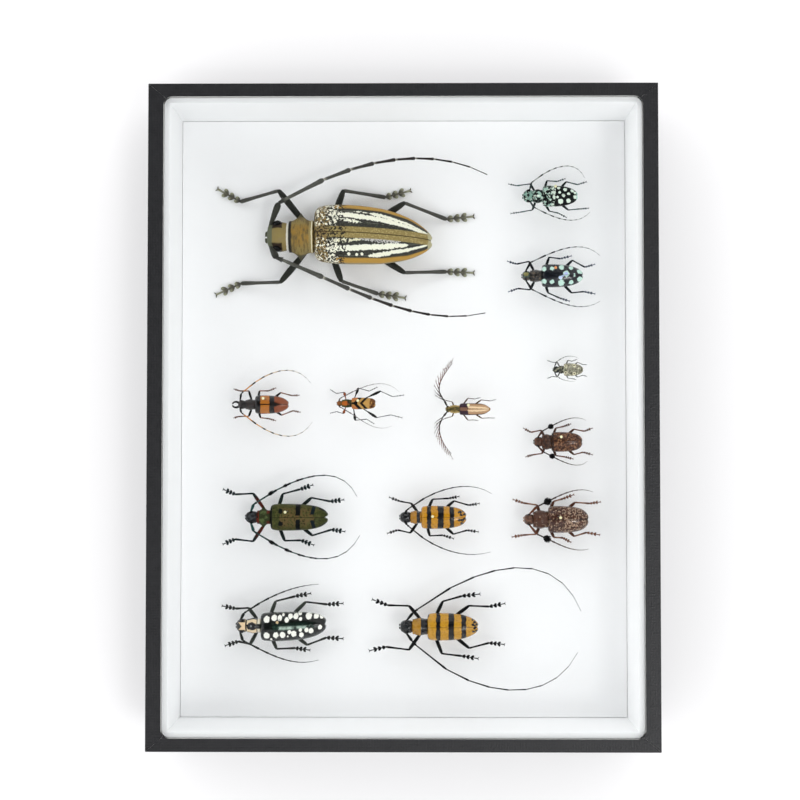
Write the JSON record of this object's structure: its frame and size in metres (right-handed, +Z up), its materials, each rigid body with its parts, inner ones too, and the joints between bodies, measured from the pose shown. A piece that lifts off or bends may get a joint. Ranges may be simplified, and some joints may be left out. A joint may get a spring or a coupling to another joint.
{
  "type": "insect specimen box",
  "caption": "Shallow paper-covered specimen box with a glazed lift-off lid, a raised inner neck, pinning foam and set longhorn beetles on pins.",
  "frame": {"origin": "middle of the underside of the box", "axes": "+Z up through the glass, +Y along the long side towards the back, +X to the right; the beetles' heads point to -X"},
  "size_m": [0.23, 0.3, 0.054],
  "materials": {
    "cover_paper": "black linen-grained covering paper",
    "board": "plain grey board",
    "lath": "plain softwood",
    "neck_card": "white paper-faced card",
    "foam": "white closed-cell foam",
    "window_glass": "clear",
    "pin_steel": "polished wire",
    "striped_shell": "natural insect shell",
    "mint_shell": "natural insect shell",
    "blue_spotted_shell": "natural insect shell",
    "speckled_shell": "natural insect shell",
    "red_tufted_shell": "natural insect shell",
    "brown_tufted_shell": "natural insect shell",
    "orange_black_shell": "natural insect shell",
    "golden_shell": "natural insect shell",
    "feather_horned_shell": "natural insect shell",
    "olive_shell": "natural insect shell",
    "gold_banded_shell": "natural insect shell",
    "white_spotted_shell": "natural insect shell",
    "banded_shell": "natural insect shell"
  },
  "bodies": {
    "box": {"bottom_board": "board", "bottom_cover_sheet": "cover_paper", "pinning_foam": "foam", "base_wall_left": "board", "base_wall_right": "board", "base_wall_front": "board", "base_wall_back": "board", "base_cover_left": "cover_paper", "base_cover_right": "cover_paper", "base_cover_front": "cover_paper", "base_cover_back": "cover_paper", "neck_left": "neck_card", "neck_right": "neck_card", "neck_front": "neck_card", "neck_back": "neck_card"},
    "lid": {"glass_pane": "window_glass", "lid_wall_left": "lath", "lid_wall_right": "lath", "lid_wall_front": "lath", "lid_wall_back": "lath", "lid_cover_left": "cover_paper", "lid_cover_right": "cover_paper", "lid_cover_front": "cover_paper", "lid_cover_back": "cover_paper"},
    "specimen_striped": {"beetle_striped": "striped_shell", "pin_striped": "pin_steel"},
    "specimen_mint": {"beetle_mint": "mint_shell", "pin_mint": "pin_steel"},
    "specimen_blue_spotted": {"beetle_blue_spotted": "blue_spotted_shell", "pin_blue_spotted": "pin_steel"},
    "specimen_speckled": {"beetle_speckled": "speckled_shell", "pin_speckled": "pin_steel"},
    "specimen_red_tufted": {"beetle_red_tufted": "red_tufted_shell", "pin_red_tufted": "pin_steel"},
    "specimen_brown_tufted": {"beetle_brown_tufted": "brown_tufted_shell", "pin_brown_tufted": "pin_steel"},
    "specimen_orange_black": {"beetle_orange_black": "orange_black_shell", "pin_orange_black": "pin_steel"},
    "specimen_golden": {"beetle_golden": "golden_shell", "pin_golden": "pin_steel"},
    "specimen_feather_horned": {"beetle_feather_horned": "feather_horned_shell", "pin_feather_horned": "pin_steel"},
    "specimen_olive": {"beetle_olive": "olive_shell", "pin_olive": "pin_steel"},
    "specimen_gold_banded": {"beetle_gold_banded": "gold_banded_shell", "pin_gold_banded": "pin_steel"},
    "specimen_white_spotted": {"beetle_white_spotted": "white_spotted_shell", "pin_white_spotted": "pin_steel"},
    "specimen_banded": {"beetle_banded": "banded_shell", "pin_banded": "pin_steel"}
  },
  "joints": [
    {"name": "lid_lift", "type": "slide", "parent": "box", "child": "lid", "axis": [0, 0, 1], "range_m": [0, 0.06]},
    {"name": "striped_pull", "type": "slide", "parent": "box", "child": "specimen_striped", "axis": [0, 0, 1], "range_m": [0, 0.0095]},
    {"name": "mint_pull", "type": "slide", "parent": "box", "child": "specimen_mint", "axis": [0, 0, 1], "range_m": [0, 0.0095]},
    {"name": "blue_spotted_pull", "type": "slide", "parent": "box", "child": "specimen_blue_spotted", "axis": [0, 0, 1], "range_m": [0, 0.0095]},
    {"name": "speckled_pull", "type": "slide", "parent": "box", "child": "specimen_speckled", "axis": [0, 0, 1], "range_m": [0, 0.0095]},
    {"name": "red_tufted_pull", "type": "slide", "parent": "box", "child": "specimen_red_tufted", "axis": [0, 0, 1], "range_m": [0, 0.0095]},
    {"name": "brown_tufted_pull", "type": "slide", "parent": "box", "child": "specimen_brown_tufted", "axis": [0, 0, 1], "range_m": [0, 0.0095]},
    {"name": "orange_black_pull", "type": "slide", "parent": "box", "child": "specimen_orange_black", "axis": [0, 0, 1], "range_m": [0, 0.0095]},
    {"name": "golden_pull", "type": "slide", "parent": "box", "child": "specimen_golden", "axis": [0, 0, 1], "range_m": [0, 0.0095]},
    {"name": "feather_horned_pull", "type": "slide", "parent": "box", "child": "specimen_feather_horned", "axis": [0, 0, 1], "range_m": [0, 0.0095]},
    {"name": "olive_pull", "type": "slide", "parent": "box", "child": "specimen_olive", "axis": [0, 0, 1], "range_m": [0, 0.0095]},
    {"name": "gold_banded_pull", "type": "slide", "parent": "box", "child": "specimen_gold_banded", "axis": [0, 0, 1], "range_m": [0, 0.0095]},
    {"name": "white_spotted_pull", "type": "slide", "parent": "box", "child": "specimen_white_spotted", "axis": [0, 0, 1], "range_m": [0, 0.0095]},
    {"name": "banded_pull", "type": "slide", "parent": "box", "child": "specimen_banded", "axis": [0, 0, 1], "range_m": [0, 0.0095]}
  ]
}
